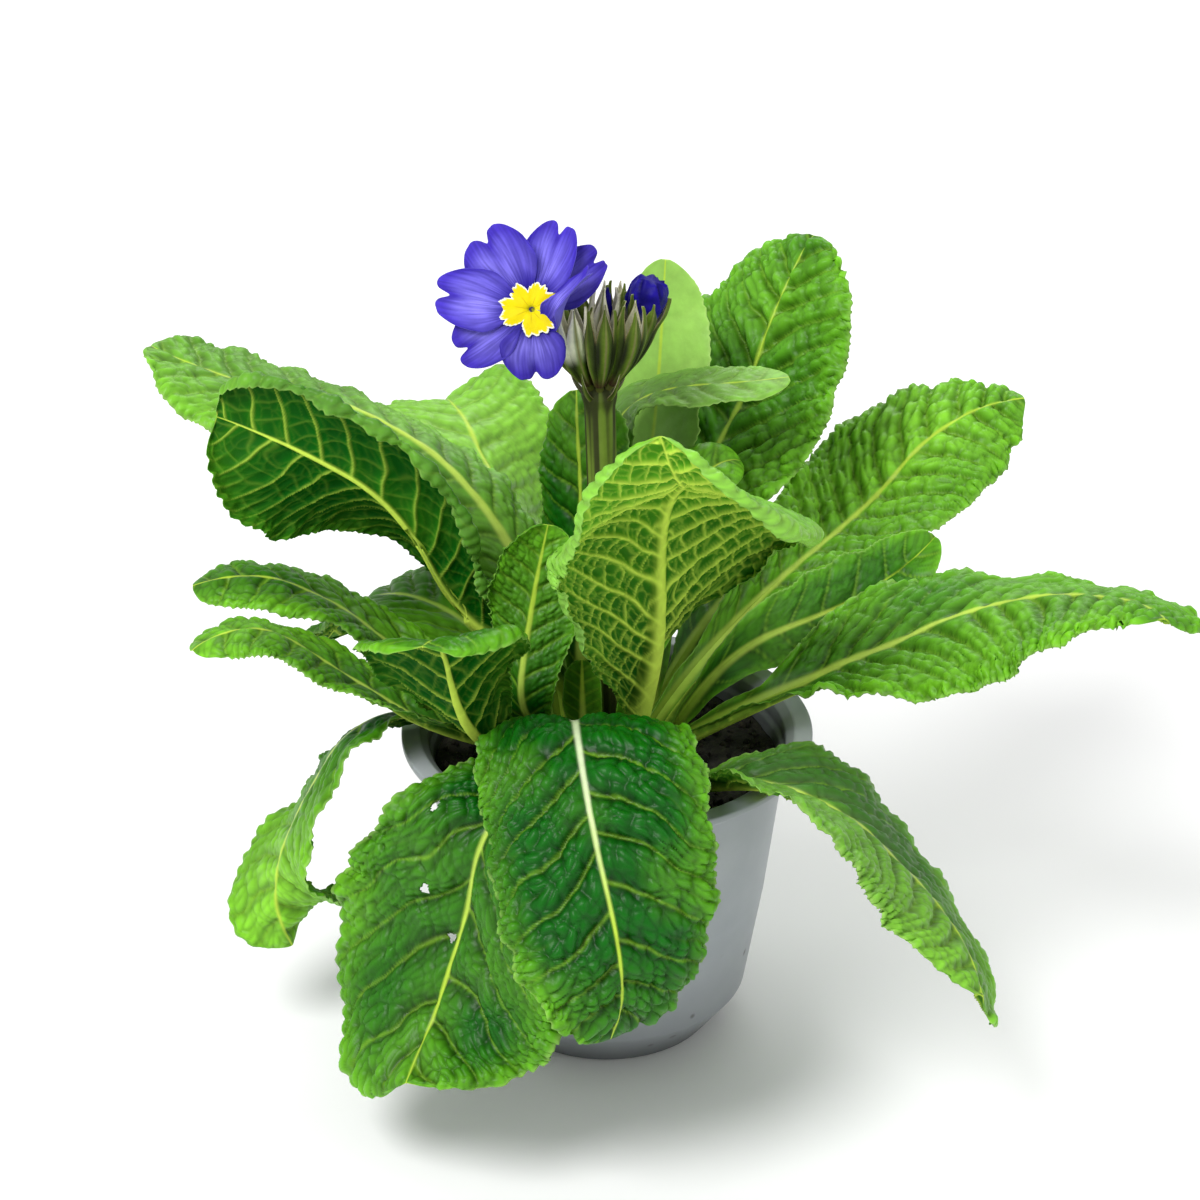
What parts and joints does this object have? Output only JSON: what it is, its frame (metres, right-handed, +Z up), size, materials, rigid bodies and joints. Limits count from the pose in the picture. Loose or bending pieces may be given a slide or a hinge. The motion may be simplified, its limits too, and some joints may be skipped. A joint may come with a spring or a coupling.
{
  "type": "potted oxlip",
  "caption": "Potted primula with a rosette of crinkled green leaves, a stem with an umbel of buds and one open violet-blue flower, in a round grey plastic nursery pot.",
  "frame": {"origin": "centre of the flat underside of the pot", "axes": "+Z up along the pot's axis, -Y towards the front, where the large leaf hangs over the pot's wall"},
  "size_m": [0.2601, 0.2053, 0.2222],
  "materials": {
    "pot": "smooth matte light grey polypropylene",
    "soil": "loose dark brown potting compost",
    "leaf": "crinkled leaf, deep green, slightly glossy above and paler with raised veins below",
    "young_leaf": "crinkled younger leaf, light green",
    "stalk": "pale green, finely hairy",
    "calyx": "dark olive green with brown edges, finely hairy",
    "petal": "velvety violet-blue with fine darker veins",
    "bud": "deep blue, folded",
    "eye": "bright yellow, matte",
    "stigma": "pale green, matte"
  },
  "bodies": {
    "root": {"pot": "pot", "soil": "soil", "crown": "stalk", "scape": "stalk", "leaf_front_hanging": "leaf", "leaf_front_left_hanging": "leaf", "leaf_right_hanging": "leaf", "leaf_left_curled": "leaf", "leaf_front_upright": "leaf", "leaf_front_small": "leaf", "leaf_centre_left": "leaf", "leaf_centre_right": "leaf", "leaf_left_low": "leaf", "leaf_left_hanging": "leaf", "leaf_left_mid": "leaf", "leaf_right_far": "leaf", "leaf_right_mid": "leaf", "leaf_left_big": "leaf", "leaf_right_high": "leaf", "leaf_right_small": "leaf", "leaf_back_left_long": "young_leaf", "leaf_back_left_light": "young_leaf", "leaf_back_narrow": "young_leaf", "leaf_back_right_bent": "young_leaf", "leaf_back_pale": "young_leaf", "leaf_back_right_big": "young_leaf", "leaf_back_low_left": "young_leaf", "leaf_back_low_right": "young_leaf", "leaf_back_low_middle": "young_leaf", "bract_1": "calyx", "bract_2": "calyx", "bract_3": "calyx", "bract_4": "calyx", "bract_5": "calyx", "calyx_1": "calyx", "pedicel_1": "stalk", "calyx_2": "calyx", "pedicel_2": "stalk", "calyx_3": "calyx", "pedicel_3": "stalk", "calyx_4": "calyx", "pedicel_4": "stalk", "calyx_5": "calyx", "pedicel_5": "stalk", "calyx_6": "calyx", "pedicel_6": "stalk", "calyx_7": "calyx", "pedicel_7": "stalk", "calyx_8": "calyx", "pedicel_8": "stalk", "bud_large": "bud", "bud_small": "bud", "flower_face": "petal", "flower_eye": "eye", "flower_stigma": "stigma", "flower_tube": "eye"}
  },
  "joints": []
}
